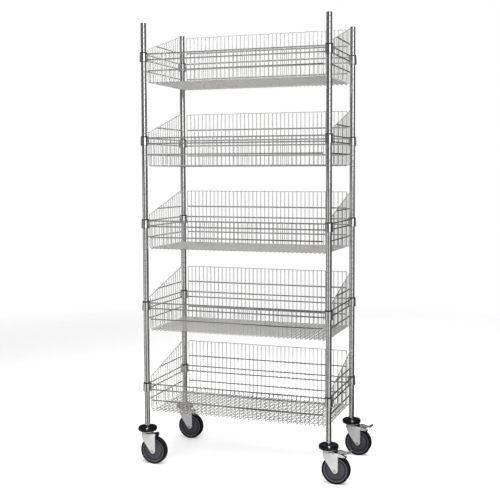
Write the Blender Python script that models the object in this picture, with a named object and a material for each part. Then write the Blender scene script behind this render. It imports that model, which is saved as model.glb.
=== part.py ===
"""Mobile wire basket rack: four round posts on swivel casters carry five welded wire baskets.

Each basket stands on a split sleeve at every corner, which wedges into the basket's tapered collar. The
rack's front is at -Y and the casters trail towards +X. Metres, +Z up. The origin is on the floor, below the
middle of the whole rack's box.
"""

import math

import bmesh
import bpy

# Driving dimensions
POST_SPACING_X = 0.877
POST_SPACING_Y = 0.420
POST_RADIUS = 0.0127
POST_BORE = 0.0114
POST_BOTTOM = 0.1576
POST_LENGTH = 1.877
TIERS = 5
TIER_PITCH = 0.381
WHEEL_RADIUS = 0.0635
WHEEL_WIDTH = 0.032
TRAIL = 0.034
BUMPER_RADIUS = 0.044
BUMPER_THICKNESS = 0.021
BUMPER_SLIT = -69.0  # degrees from +X to the middle of the slit
BUMPER_SLIT_HALF = 4.0
PEDAL_REACH = 0.105
GAP = 0.0003  # between pieces that touch

# Basket: heights are above the top of the tier's sleeves
ROD = 0.006  # thick rods, across their height
WIRE = 0.003  # the thin wire along a panel's top
BAR = 0.004  # upright and mat wires
PLATE = 0.004  # thickness of every wire panel
TOP_WIRE = 0.121
UPPER_ROD = 0.044
TOP_RAIL = -0.008
BOTTOM_RAIL = -0.034
LOWER_ROD = -0.084
MAT = -0.134
FRONT_OF_SLOPE = 0.017  # height of a side panel's sloping wire at the front
PANEL_HALF_X = 0.412
PANEL_HALF_Y = 0.175
UPPER_ROD_FRONT = -0.050  # where a side panel's upper rod begins
UPRIGHTS_X = [-PANEL_HALF_X, 0.0, PANEL_HALF_X]
UPRIGHTS_Y = [-PANEL_HALF_Y, UPPER_ROD_FRONT, 0.060, PANEL_HALF_Y]

# Collar and sleeve: a shared taper, wide at the bottom
COLLAR_TOP = -0.003
COLLAR_HEIGHT = 0.039
COLLAR_WALL = 0.002
SLEEVE_WALL = 0.002
TAPER = 0.0012
SLEEVE_TOP = 0.0
SLEEVE_BOTTOM = -0.043
SLEEVE_SLIT = 0.03  # half angle
RAIL_INTO_COLLAR = 0.0006
TRIM = 0.0005  # keeps two joined wires' faces out of one plane

CAP_DEPTH = 0.012
CAP_RIM = 0.002
CAP_CROWN = 0.003
CAP_CHAMFER = 0.0012

# Caster, as heights above the floor and places along +X from the swivel axis
AXLE_HEIGHT = WHEEL_RADIUS
BUMPER_BOTTOM = 0.149
CROWN_BOTTOM = 0.132
CROWN_TOP = 0.1448
CROWN_RADIUS = 0.027
CROWN_CHAMFER = 0.004
FORK_TOP = 0.141
FORK_HALF_WIDTH = 0.022
FORK_SHEET = 0.003
LEG_FRONT = [(-0.023, FORK_TOP), (-0.020, 0.131), (-0.009, 0.105)]  # from the crown down to the foot
FOOT_RADIUS = 0.0125
FOOT_START = 210  # degrees, where the slanting front edge meets the round foot
ARM = [(0.068, 0.1245), (0.072, 0.127), (0.072, 0.131), (0.060, 0.1365), (0.040, 0.1395)]  # carries the pedal
ARM_ROOT = 0.1255
POCKET_FLOOR = 0.128
POCKET_START = 0.031
PIN_RADIUS = 0.008
KING_NUT_RADIUS = 0.010
KING_NUT_HEIGHT = 0.004
STEM_PLAY = 0.0002
FLANGE_BOTTOM = CROWN_TOP + GAP
FLANGE_TOP = BUMPER_BOTTOM - GAP
FLANGE_RADIUS = 0.026
STEM_RADIUS = 0.011
STEM_TOP = 0.230
BOLT_RADIUS = 0.004
AXLE_BORE_RADIUS = 0.0044
BOLT_HEAD_RADIUS = 0.0065
BOLT_HEAD = 0.0045
NUT_HEIGHT = 0.005
PEDAL_PIVOT = (0.052, 0.1318)
PEDAL_PIN_RADIUS = 0.0025
PEDAL_PIN_HALF = 0.0215
PEDAL_BORE_RADIUS = 0.0029
PEDAL_TOP = [
    (0.040, 0.1425),
    (0.045, 0.1475),
    (0.055, 0.1485),
    (0.066, 0.1460),
    (0.083, 0.1440),
    (0.094, 0.1465),
    (PEDAL_REACH - 0.0015, 0.1530),
]
PEDAL_UNDER = [
    (PEDAL_REACH, 0.1495),
    (0.094, 0.1415),
    (0.083, 0.1395),
    (0.068, 0.1400),
    (0.0585, 0.1320),
    (0.055, 0.1280),
    (0.049, 0.1280),
    (0.0455, 0.1320),
    (0.043, 0.1380),
]
PEDAL_HALF_WIDTHS = [
    (0.030, 0.013),
    (0.060, 0.013),
    (0.075, 0.008),
    (0.086, 0.0075),
    (0.094, 0.015),
    (0.110, 0.011),
]

# Wheel, as distances from the axle and from the wheel's middle plane
HUB_RADIUS = 0.013
HUB_HALF = 0.0183
HUB_BORE = 0.0045
WEB_HALF = 0.009
RIM_INNER = 0.046
RIM_RADIUS = 0.054
RIM_HALF = 0.0145
TYRE_SHOULDER = 0.004
TYRE_EDGE = 0.001

ROUND = 12  # sides of the posts, collars and sleeves
BUMPER_SIDES = 16
WHEEL_SIDES = 24
BORE_SIDES = 8
SMOOTH_ANGLE = math.radians(35)
BEYOND = 0.03  # half length of a shape that is to reach past both sides of a fork
FLAT = math.radians(0.3)  # faces this nearly in one plane become one

SIDES = {"l": -1, "r": 1, "f": -1, "b": 1}
CORNERS = ("fl", "fr", "bl", "br")
BRAKED = ("fr", "br")
RACK_X = -(PEDAL_REACH - BUMPER_RADIUS) / 2  # centres the box of posts, bumpers and pedals on the origin

FINISHES = {
    "chrome": ((0.78, 0.78, 0.79), 1.0, 0.16),
    "zinc_steel": ((0.72, 0.73, 0.74), 1.0, 0.38),
    "sleeve_plastic": ((0.02, 0.02, 0.022), 0.0, 0.45),
    "bumper_rubber": ((0.015, 0.015, 0.017), 0.0, 0.6),
    "wheel_core": ((0.075, 0.075, 0.085), 0.0, 0.5),
    "tyre_rubber": ((0.014, 0.014, 0.016), 0.0, 0.55),
}


def clear_scene():
    for old in list(bpy.data.objects):
        bpy.data.objects.remove(old, do_unlink=True)


def material(finish):
    """The named finish as a Principled material, made once."""
    found = bpy.data.materials.get(finish)
    if found:
        return found
    colour, metallic, roughness = FINISHES[finish]
    made = bpy.data.materials.new(finish)
    made.use_nodes = True
    shader = made.node_tree.nodes["Principled BSDF"]
    shader.inputs["Base Color"].default_value = (*colour, 1.0)
    shader.inputs["Metallic"].default_value = metallic
    shader.inputs["Roughness"].default_value = roughness
    made.diffuse_color = (*colour, 1.0)
    return made


def mesh_from(name, points, faces):
    mesh = bpy.data.meshes.new(name)
    mesh.from_pydata(points, [], faces)
    shape = bmesh.new()
    shape.from_mesh(mesh)
    bmesh.ops.recalc_face_normals(shape, faces=shape.faces)
    shape.to_mesh(mesh)
    shape.free()
    mesh.shade_smooth()
    mesh.set_sharp_from_angle(angle=SMOOTH_ANGLE)
    return mesh


def add(name, mesh, finish=None, parent=None, at=(0, 0, 0)):
    """A new object on a mesh: a piece of the rack with a finish, or without one a shape to build with."""
    made = bpy.data.objects.new(name, mesh)
    bpy.context.scene.collection.objects.link(made)
    made.location = at
    made.parent = parent
    if finish:
        if not mesh.materials:
            mesh.materials.append(material(finish))
    else:
        made.hide_render = True
        made.display_type = "WIRE"
    return made


def empty(name, parent=None, at=(0, 0, 0)):
    made = bpy.data.objects.new(name, None)
    bpy.context.scene.collection.objects.link(made)
    made.location = at
    made.parent = parent
    return made


def turned(name, profile, sides, closed=False, along="Z", phase=0.0, slit=0.0, slit_at=0.0):
    """A profile of (radius, height) turned about an axis.

    An open profile gets flat ends. A closed one makes a ring, which slit opens by that half angle at slit_at.
    """
    if slit:
        step = 2 * math.pi / sides
        turns = [slit_at + slit] + [slit_at + step * i for i in range(1, sides)] + [slit_at - slit]
    else:
        turns = [phase + 2 * math.pi * i / sides for i in range(sides)]
    points = []
    for turn in turns:
        for radius, height in profile:
            x, y = radius * math.cos(turn), radius * math.sin(turn)
            points.append((x, y, height) if along == "Z" else (y, height, x))
    size = len(profile)
    faces = []
    for i in range(len(turns) - bool(slit)):
        here, there = i * size, (i + 1) % len(turns) * size
        for j in range(size - (not closed)):
            k = (j + 1) % size
            faces.append((here + j, there + j, there + k, here + k))
    if not closed:
        faces.append([i * size for i in range(len(turns))])
        faces.append([i * size + size - 1 for i in range(len(turns))])
    if slit:
        faces.append(list(range(size)))
        faces.append([(len(turns) - 1) * size + j for j in range(size)])
    return mesh_from(name, points, faces)


def prism(name, outline, half_width, along="Y"):
    """An outline of (x, z), of (y, z) along X or of (x, y) along Z, pulled out to both sides."""
    size = len(outline)
    points = []
    for side in (-half_width, half_width):
        for a, b in outline:
            points.append({"X": (side, a, b), "Y": (a, side, b), "Z": (a, b, side)}[along])
    faces = [list(range(size)), list(range(size, 2 * size))]
    for j in range(size):
        k = (j + 1) % size
        faces.append((j, k, size + k, size + j))
    return mesh_from(name, points, faces)


def arc(centre, radius, start, end, steps):
    """Points along an arc in degrees, both ends included."""
    turns = [math.radians(start + (end - start) * i / steps) for i in range(steps + 1)]
    return [(centre[0] + radius * math.cos(t), centre[1] + radius * math.sin(t)) for t in turns]


def combined(name, base, others, operation="UNION"):
    """One closed mesh from a base shape and others added to it, kept in common or cut away."""
    shapes = bpy.data.collections.new(name + "_shapes")
    body = add(name + "_base", base)
    helpers = [add(name + "_shape", other) for other in others]
    for helper in helpers:
        shapes.objects.link(helper)
    union = body.modifiers.new("join", "BOOLEAN")
    union.operation = operation
    union.operand_type = "COLLECTION"
    union.collection = shapes
    union.solver = "EXACT"
    bpy.context.view_layer.update()
    ready = body.evaluated_get(bpy.context.evaluated_depsgraph_get())
    mesh = bpy.data.meshes.new_from_object(ready)
    mesh.name = name
    for helper in [body, *helpers]:
        bpy.data.objects.remove(helper, do_unlink=True)
    bpy.data.collections.remove(shapes)
    shape = bmesh.new()
    shape.from_mesh(mesh)
    bmesh.ops.dissolve_limit(shape, angle_limit=FLAT, verts=shape.verts, edges=shape.edges)
    shape.to_mesh(mesh)
    shape.free()
    mesh.shade_smooth()
    mesh.set_sharp_from_angle(angle=SMOOTH_ANGLE)
    return mesh


# ---------------------------------------------------------------- baskets


def lattice(name, columns, rows, solid, place):
    """A flat panel of wires as one closed mesh.

    columns are the places where an upright begins or ends, rows(u) the heights there of each rod's edges,
    solid(column, row) says which cells hold metal, and place(u, v, side) puts a corner in space.
    """
    heights = [rows(u) for u in columns]
    last_column, last_row = len(columns) - 1, len(heights[0]) - 1
    points, number, faces = [], {}, []

    def corner(i, j, side):
        key = (i, j, side)
        if key not in number:
            number[key] = len(points)
            points.append(place(columns[i], heights[i][j], side))
        return number[key]

    def filled(i, j):
        return 0 <= i < last_column and 0 <= j < last_row and solid(i, j)

    def wall(i, j, k, m):
        faces.append((corner(i, j, -1), corner(k, m, -1), corner(k, m, 1), corner(i, j, 1)))

    for i in range(last_column):
        for j in range(last_row):
            if not filled(i, j):
                continue
            for side in (-1, 1):
                ring = ((i, j), (i + 1, j), (i + 1, j + 1), (i, j + 1))
                faces.append([corner(a, b, side) for a, b in ring])
            if not filled(i - 1, j):
                wall(i, j, i, j + 1)
            if not filled(i + 1, j):
                wall(i + 1, j, i + 1, j + 1)
            if not filled(i, j - 1):
                wall(i, j, i + 1, j)
            if not filled(i, j + 1):
                wall(i, j + 1, i + 1, j + 1)
    return mesh_from(name, points, faces)


def edges_of(centres, width):
    return [c + side * width / 2 for c in centres for side in (-1, 1)]


def collar_radius(height):
    """Outer radius of the tapered collar at a height above the top of the sleeves."""
    down = (COLLAR_TOP - height) / COLLAR_HEIGHT
    return POST_RADIUS + GAP + SLEEVE_WALL + GAP + COLLAR_WALL + TAPER * down


def rail_end(half_spacing):
    """How far a rail runs towards the post, into the collar's wall but not through it."""
    return half_spacing - collar_radius(TOP_RAIL) + RAIL_INTO_COLLAR


def panel(name, uprights, half_spacing, rod_heights, rows, upright_from, place):
    """Wires of one wall. Rods at TOP_RAIL and BOTTOM_RAIL go on to the collars."""
    end = rail_end(half_spacing)
    columns = [-end, *edges_of(uprights, BAR), end]
    last = len(columns) - 2

    def solid(i, j):
        is_rod = j % 2 == 1
        if i in (0, last):
            return is_rod and rod_heights[j // 2] in (TOP_RAIL, BOTTOM_RAIL)
        if i % 2 == 1:
            return True
        rod_starts_later = is_rod and rod_heights[j // 2] == UPPER_ROD and columns[i] < upright_from
        return is_rod and not rod_starts_later

    return lattice(name, columns, rows, solid, place)


def level_rows(rods):
    """Row edges of a wall whose rods are all level, from the mat up."""
    heights = [MAT - ROD / 2 + TRIM]
    for rod in rods:
        thick = WIRE if rod == TOP_WIRE else ROD
        heights += [rod - thick / 2, rod + thick / 2]
    return heights


def slope_at(y):
    """Height of a side panel's top wire."""
    along = (y + PANEL_HALF_Y) / (2 * PANEL_HALF_Y)
    return FRONT_OF_SLOPE + (TOP_WIRE - FRONT_OF_SLOPE) * along


def side_rows(y):
    """Row edges of a side wall, where the top wire slopes down to the front."""
    heights = level_rows([LOWER_ROD, BOTTOM_RAIL, TOP_RAIL])
    low, high = heights[-1], slope_at(y) - WIRE / 2
    if y < UPPER_ROD_FRONT - BAR:
        heights += [low + (high - low) / 3, low + (high - low) * 2 / 3]
    else:
        heights += [UPPER_ROD - ROD / 2, UPPER_ROD + ROD / 2]
    return [*heights, high, high + WIRE]


def wall_meshes():
    back_rods = [LOWER_ROD, BOTTOM_RAIL, TOP_RAIL, UPPER_ROD, TOP_WIRE]
    front_rods = [LOWER_ROD, BOTTOM_RAIL, TOP_RAIL]
    half_x, half_y, half = POST_SPACING_X / 2, POST_SPACING_Y / 2, PLATE / 2
    made = []
    for side, rods in ((1, back_rods), (-1, front_rods)):

        def stand(u, v, face, side=side):
            return (u, side * half_y + face * half, v)

        made.append(
            panel("wall", UPRIGHTS_X, half_x, rods, lambda u, r=rods: level_rows(r), -math.inf, stand)
        )
    for side in (-1, 1):

        def stand(u, v, face, side=side):
            return (side * half_x + face * half, u, v)

        made.append(
            panel("wall", UPRIGHTS_Y, half_y, back_rods, side_rows, UPPER_ROD_FRONT, stand)
        )
    return made


def mat_mesh():
    """The basket's floor: its wires join the foot of each upright, and it is cut back at the posts."""
    edge_x, edge_y = (POST_SPACING_X + PLATE) / 2 - TRIM, (POST_SPACING_Y + PLATE) / 2 - TRIM
    columns = [-edge_x, *edges_of(UPRIGHTS_X, BAR), edge_x]
    rows = [-edge_y, *edges_of(UPRIGHTS_Y, BAR), edge_y]

    def solid(i, j):
        return i % 2 == 1 or j % 2 == 1 if 0 < i < len(columns) - 2 else j % 2 == 1

    def lie(u, v, face):
        return (u, v, MAT + face * PLATE / 2)

    return lattice("mat", columns, lambda u: rows, solid, lie)


def collar_meshes():
    made = []
    inner, outer = collar_radius(COLLAR_TOP) - COLLAR_WALL, collar_radius(COLLAR_TOP)
    low = COLLAR_TOP - COLLAR_HEIGHT
    profile = [(inner, COLLAR_TOP), (outer, COLLAR_TOP), (outer + TAPER, low), (inner + TAPER, low)]
    for corner in CORNERS:
        ring = turned("collar", profile, ROUND, closed=True)
        for point in ring.vertices:
            point.co.x += post_x(corner)
            point.co.y += post_y(corner)
        made.append(ring)
    return made


def post_x(corner):
    return SIDES[corner[1]] * POST_SPACING_X / 2


def post_y(corner):
    return SIDES[corner[0]] * POST_SPACING_Y / 2


def add_baskets(rack):
    walls = wall_meshes()
    mesh = combined("basket", mat_mesh(), [*walls, *collar_meshes()])
    for tier in range(1, TIERS + 1):
        add(f"basket_{tier}", mesh, "chrome", rack, (0, 0, tier * TIER_PITCH))


def add_sleeves(rack):
    """One sleeve on the post under each basket corner, with its slit towards the rack's middle."""
    inner = POST_RADIUS + GAP
    outer = inner + SLEEVE_WALL
    lip = (COLLAR_TOP - SLEEVE_TOP) / COLLAR_HEIGHT
    foot = (COLLAR_TOP - SLEEVE_BOTTOM) / COLLAR_HEIGHT
    profile = [
        (inner, SLEEVE_TOP),
        (outer + TAPER * lip, SLEEVE_TOP),
        (outer + TAPER * foot, SLEEVE_BOTTOM),
        (inner, SLEEVE_BOTTOM),
    ]
    for corner in CORNERS:
        towards_middle = 0.0 if corner[1] == "l" else math.pi
        slit = {"slit": SLEEVE_SLIT, "slit_at": towards_middle}
        mesh = turned("sleeve_" + corner, profile, ROUND, closed=True, **slit)
        for tier in range(1, TIERS + 1):
            at = (post_x(corner), post_y(corner), tier * TIER_PITCH)
            add(f"sleeve_{tier}_{corner}", mesh, "sleeve_plastic", rack, at)


# ---------------------------------------------------------------- posts and bumpers


def add_posts(rack):
    top = POST_BOTTOM + POST_LENGTH
    tube = [
        (POST_BORE, POST_BOTTOM),
        (POST_RADIUS, POST_BOTTOM),
        (POST_RADIUS, top),
        (POST_BORE, top),
    ]
    plug = [
        (STEM_RADIUS, top - CAP_DEPTH),
        (STEM_RADIUS, top + GAP),
        (POST_RADIUS, top + GAP),
        (POST_RADIUS, top + CAP_RIM),
        (POST_RADIUS - CAP_CHAMFER, top + CAP_CROWN),
    ]
    tube_mesh = turned("post", tube, ROUND, closed=True)
    plug_mesh = turned("post_cap", plug, ROUND)
    for corner in CORNERS:
        at = (post_x(corner), post_y(corner), 0)
        add("post_" + corner, tube_mesh, "chrome", rack, at)
        add("post_cap_" + corner, plug_mesh, "chrome", rack, at)


def add_bumpers(rack):
    """A soft disc round each post's foot, split at the front so that it can be pushed on."""
    low, high = BUMPER_BOTTOM, BUMPER_BOTTOM + BUMPER_THICKNESS
    bevel = BUMPER_THICKNESS / 3
    profile = [
        (POST_RADIUS + GAP, low),
        (BUMPER_RADIUS - bevel, low),
        (BUMPER_RADIUS, low + bevel),
        (BUMPER_RADIUS, high - bevel),
        (BUMPER_RADIUS - bevel, high),
        (POST_RADIUS + GAP, high),
    ]
    half_slit, slit_at = math.radians(BUMPER_SLIT_HALF), math.radians(BUMPER_SLIT)
    mesh = turned("bumper", profile, BUMPER_SIDES, closed=True, slit=half_slit, slit_at=slit_at)
    for corner in CORNERS:
        add("bumper_" + corner, mesh, "bumper_rubber", rack, (post_x(corner), post_y(corner), 0))


# ---------------------------------------------------------------- casters


def stem_mesh():
    """Kingpin, upper race and the stem that fills the foot of the post."""
    profile = [
        (KING_NUT_RADIUS, CROWN_BOTTOM - KING_NUT_HEIGHT),
        (KING_NUT_RADIUS, CROWN_BOTTOM - GAP),
        (PIN_RADIUS, CROWN_BOTTOM - GAP),
        (PIN_RADIUS, FLANGE_BOTTOM),
        (FLANGE_RADIUS, FLANGE_BOTTOM),
        (FLANGE_RADIUS, FLANGE_TOP),
        (POST_RADIUS - STEM_PLAY, FLANGE_TOP),
        (POST_RADIUS - STEM_PLAY, POST_BOTTOM - GAP),
        (STEM_RADIUS, POST_BOTTOM - GAP),
        (STEM_RADIUS, STEM_TOP),
    ]
    return turned("caster_stem", profile, ROUND)


def leg_outline(braked):
    """Side view of the fork: a slanting front edge, an upright back edge and a round foot at the axle.

    A braked fork has an arm that slopes down to the back and carries the pedal.
    """
    back = TRAIL + FOOT_RADIUS
    outline = LEG_FRONT + arc((TRAIL, AXLE_HEIGHT), FOOT_RADIUS, FOOT_START, 360, 5)
    if braked:
        return [*outline, (back, ARM_ROOT), *ARM, (CROWN_RADIUS, FORK_TOP)]
    return [*outline, (back, FORK_TOP)]


def legs_mesh(braked):
    """A sheet bent to an upside-down U, cut to the side view."""
    outer, inner = FORK_HALF_WIDTH, FORK_HALF_WIDTH - FORK_SHEET
    arch = [
        (-outer, 0.0),
        (-outer, FORK_TOP),
        (outer, FORK_TOP),
        (outer, 0.0),
        (inner, 0.0),
        (inner, FORK_TOP - FORK_SHEET),
        (-inner, FORK_TOP - FORK_SHEET),
        (-inner, 0.0),
    ]
    # trimmed at the top so that no two faces lie in one plane
    side = [(x, min(z, FORK_TOP - TRIM / 5)) for x, z in leg_outline(braked)]
    sheet = prism("arch", arch, POST_SPACING_Y / 2, along="X")
    return combined("legs", sheet, [prism("side", side, BEYOND)], "INTERSECT")


def fork_mesh(braked):
    """Two legs and a pressed crown, bored for the kingpin and the axle, with a pocket for the pedal."""
    crown = [
        (CROWN_RADIUS, CROWN_BOTTOM),
        (CROWN_RADIUS, CROWN_TOP - CROWN_CHAMFER),
        (CROWN_RADIUS - CROWN_CHAMFER, CROWN_TOP),
    ]
    fork = combined("fork", legs_mesh(braked), [turned("crown", crown, BUMPER_SIDES)])
    king_bore = PIN_RADIUS + GAP
    cutters = [
        turned("king_bore", [(king_bore, AXLE_HEIGHT), (king_bore, BUMPER_BOTTOM)], ROUND),
        bored_across("axle_bore", AXLE_BORE_RADIUS, TRAIL, AXLE_HEIGHT),
    ]
    if braked:
        start, end, low, high = POCKET_START, PEDAL_REACH, POCKET_FLOOR, BUMPER_BOTTOM
        pocket = [(start, low), (end, low), (end, high), (start, high)]
        cutters.append(prism("pocket", pocket, FORK_HALF_WIDTH - FORK_SHEET - TRIM / 5))
        cutters.append(bored_across("pedal_bore", PEDAL_BORE_RADIUS, *PEDAL_PIVOT))
    return combined("fork", fork, cutters, "DIFFERENCE")


def bored_across(name, radius, x, z):
    """A round bar along Y, to bore a hole with."""
    mesh = turned(name, [(radius, -BEYOND), (radius, BEYOND)], BORE_SIDES, along="Y")
    for point in mesh.vertices:
        point.co.x += x
        point.co.z += z
    return mesh


def wheel_mesh():
    """Moulded core: a hub that the bolt runs in, a thin web and a rim. Profile about the axle."""
    side = [
        (HUB_BORE, HUB_HALF),
        (HUB_RADIUS, HUB_HALF),
        (HUB_RADIUS, WEB_HALF),
        (RIM_INNER, WEB_HALF),
        (RIM_INNER, RIM_HALF),
        (RIM_RADIUS, RIM_HALF),
    ]
    profile = side + [(r, -y) for r, y in reversed(side)]
    return turned("wheel_core", profile, WHEEL_SIDES, closed=True, along="Y", phase=math.pi / WHEEL_SIDES)


def tyre_mesh():
    """Solid tyre. Its flat sides touch the floor, so its corners reach a little past the true radius."""
    grow = 1 / math.cos(math.pi / WHEEL_SIDES)
    outer, half = WHEEL_RADIUS * grow, WHEEL_WIDTH / 2
    side = [
        (RIM_RADIUS + GAP, half - TYRE_EDGE),
        (outer - TYRE_SHOULDER, half),
        (outer, half - TYRE_SHOULDER),
    ]
    profile = side + [(r, -y) for r, y in reversed(side)]
    return turned("tyre", profile, WHEEL_SIDES, closed=True, along="Y", phase=math.pi / WHEEL_SIDES)


def axle_mesh():
    """Bolt with its head at the front and its nut at the back."""
    reach = FORK_HALF_WIDTH + GAP
    profile = [
        (BOLT_HEAD_RADIUS - BOLT_HEAD / 3, -reach - BOLT_HEAD),
        (BOLT_HEAD_RADIUS, -reach - BOLT_HEAD * 2 / 3),
        (BOLT_HEAD_RADIUS, -reach),
        (BOLT_RADIUS, -reach),
        (BOLT_RADIUS, reach),
        (BOLT_HEAD_RADIUS, reach),
        (BOLT_HEAD_RADIUS, reach + NUT_HEIGHT),
    ]
    return turned("axle", profile, BORE_SIDES, along="Y")


def pedal_mesh():
    """Foot pedal about its pivot at the origin: a humped body on a cross pin, a neck and a rising toe."""
    x0, z0 = PEDAL_PIVOT
    outline = [(x - x0, z - z0) for x, z in PEDAL_TOP + PEDAL_UNDER]
    around = [(x - x0, y) for x, y in PEDAL_HALF_WIDTHS]
    around += [(x, -y) for x, y in reversed(around)]
    body = combined("body", prism("side", outline, BEYOND), [prism("top", around, BEYOND, "Z")], "INTERSECT")
    pin_ends = [(PEDAL_PIN_RADIUS, -PEDAL_PIN_HALF), (PEDAL_PIN_RADIUS, PEDAL_PIN_HALF)]
    return combined("pedal", body, [turned("pin", pin_ends, BORE_SIDES, along="Y")])


def add_casters(rack):
    stem, wheel, tyre, axle = stem_mesh(), wheel_mesh(), tyre_mesh(), axle_mesh()
    forks = {True: fork_mesh(True), False: fork_mesh(False)}
    pedal = pedal_mesh()
    for corner in CORNERS:
        braked = corner in BRAKED
        foot = (post_x(corner), post_y(corner), 0)
        add("caster_stem_" + corner, stem, "zinc_steel", rack, foot)
        swivel = empty("swivel_axis_" + corner, rack, foot)
        add("caster_fork_" + corner, forks[braked], "zinc_steel", swivel)
        hub = empty("wheel_axis_" + corner, swivel, (TRAIL, 0, AXLE_HEIGHT))
        add("caster_axle_" + corner, axle, "zinc_steel", hub)
        add("caster_wheel_" + corner, wheel, "wheel_core", hub)
        add("caster_tyre_" + corner, tyre, "tyre_rubber", hub)
        if braked:
            at = (PEDAL_PIVOT[0], 0, PEDAL_PIVOT[1])
            add("brake_pedal_" + corner, pedal, "zinc_steel", swivel, at)


def main():
    clear_scene()
    rack = empty("rack", at=(RACK_X, 0, 0))
    add_posts(rack)
    add_baskets(rack)
    add_sleeves(rack)
    add_bumpers(rack)
    add_casters(rack)
    bpy.context.view_layer.update()


main()
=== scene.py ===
"""Looks of the mobile wire basket rack: fine wires, grooved posts, casters, finishes, light and camera."""

import math

import bmesh
import bpy
from mathutils import Euler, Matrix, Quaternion, Vector


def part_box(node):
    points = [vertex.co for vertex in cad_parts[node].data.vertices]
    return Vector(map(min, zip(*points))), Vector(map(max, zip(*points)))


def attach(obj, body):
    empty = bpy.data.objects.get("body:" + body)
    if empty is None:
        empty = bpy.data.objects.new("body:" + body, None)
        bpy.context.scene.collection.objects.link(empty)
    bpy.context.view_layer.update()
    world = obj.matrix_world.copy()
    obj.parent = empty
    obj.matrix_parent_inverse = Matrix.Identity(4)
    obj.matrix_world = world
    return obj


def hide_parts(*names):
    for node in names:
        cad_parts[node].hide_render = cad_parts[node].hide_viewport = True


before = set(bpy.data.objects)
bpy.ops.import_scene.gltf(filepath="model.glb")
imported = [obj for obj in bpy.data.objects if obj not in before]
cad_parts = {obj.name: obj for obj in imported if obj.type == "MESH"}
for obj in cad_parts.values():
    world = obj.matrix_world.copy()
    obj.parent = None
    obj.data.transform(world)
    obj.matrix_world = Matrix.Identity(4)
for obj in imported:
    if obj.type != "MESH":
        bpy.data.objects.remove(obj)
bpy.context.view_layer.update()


def grey(value):
    """A colour with three equal parts."""
    return (value, value, value)


# ---------------------------------------------------------------- sizes, in metres

TIERS = 5
CORNERS = ("fl", "fr", "bl", "br")
BRAKED = ("fr", "br")
GAP = 0.0003  # between pieces that touch
X_AXIS = (1, 0, 0)
Y_AXIS = (0, 1, 0)

# Basket: heights are above the top of the tier's sleeves
ROD_RADIUS = 0.003
ROD_SIDES = 14
WIRE_RADIUS = 0.0017
WELD_SINK = 0.0004  # how far two wires sink into each other where they are welded
RAIL_SINK = 0.0006  # how far a rail's end sinks into its collar
CUT_END = 0.62  # size of a wire's cut end, as a share of its radius
WELDED_END = 1.45  # size of a rail's welded end, as a share of its radius
TOP_WIRE = 0.121
UPPER_ROD = 0.044
TOP_RAIL = -0.008
BOTTOM_RAIL = -0.034
LOWER_ROD = -0.084
FLOOR_TOP = -0.132  # top of the floor's upper layer of wires
SLOPE_FRONT = 0.017  # height of the side walls' sloping wire at its front end
LONG_WIRES = 15  # run along X and up both side walls
CROSS_WIRES = 41  # run along Y and up the front and back walls
LONG_REACH = 0.175  # the outermost long wires, from the middle
CROSS_REACH = 0.412  # the outermost cross wires, from the middle
ROD_OVERHANG = 0.003  # how far a free rod reaches past the outermost wires
BEND = 0.006
TURN_DOWN = 0.012  # length of the turned-down ends of the walls' top wires

# Collar and sleeve share a taper, wide at the bottom
COLLAR_TOP = -0.005
COLLAR_HEIGHT = 0.037
COLLAR_WALL = 0.002
SLEEVE_WALL = 0.002
SLEEVE_HEIGHT = 0.043
SLEEVE_LIP = 0.0018  # how far the lip above the collar stands out
SLEEVE_SLIT = 0.03  # half of the slit's angle
TAPER = 0.0012

GROOVE_PITCH = 0.0254
GROOVE_HALF_WIDTH = 0.0013
GROOVE_DEPTH = 0.0007
POST_BORE = 0.0114

ROUND = 32  # sides of posts, collars and sleeves
WHEEL_ROUND = 72

# Bumper
BUMPER_BOTTOM = 0.153
BUMPER_LIFT = 0.003  # how far the soft bumper rises above its plain disc
BUMPER_SLIT = math.radians(-69.0)  # direction of the slit
SLIT_ENDS = [  # from the slit into the ring: half the slit's width, size as a share of the ring's section
    (0.0040, 0.70),
    (0.0044, 0.85),
    (0.0058, 0.95),
    (0.0085, 0.99),
    (0.0120, 1.0),
]
WEB_TOP = 0.164  # top of the web that joins the bumper's two ends
WEB_HALF_ANGLE = 0.34

# Caster, in its own frame: the origin is on the floor below the post, and the wheel trails towards +X
FORK_HALF_WIDTH = 0.022
FORK_SHEET = 0.003
FORK_TOP = 0.141
CROWN_BOTTOM = 0.132
CROWN_TOP = 0.1448
# bottom and top of the black band that is painted shade in the gap between crown and race
SHADE_BAND_BOTTOM = 0.1425
SHADE_BAND_TOP = 0.1471
PEDAL_PIVOT = (0.052, 0.1318)
PEDAL_RIBS = (0.0925, 0.0960, 0.0995)  # distances of the toe's ribs from the post
RIB_HEIGHT = 0.1482  # of the first rib
RIB_SLOPE = 0.48
SOFT_EDGE = 0.0008
GUARD_AND_SHADE_EDGE = 0.0012

# Side views of small black parts, as (distance from the post, height) points. Both are partly painted
# shade: the guard is set where the inside of the fork's back lies in shade, the housing where the pocket
# under the bumper does
GUARD_AND_SHADE = [(0.0400, 0.1300), (0.0470, 0.1275), (0.0520, 0.1290), (0.0540, 0.1345)]
GUARD_AND_SHADE += [(0.0535, 0.1430), (0.0500, 0.1460), (0.0390, 0.1460), (0.0365, 0.1420)]
# the housing is partly painted shade: a black block where the pocket under the bumper lies in shade
HOUSING_AND_SHADE = [(0.0315, 0.1290), (0.0385, 0.1290), (0.0392, 0.1400)]
HOUSING_AND_SHADE += [(0.0388, 0.1466), (0.0300, 0.1466), (0.0300, 0.1430)]

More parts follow.
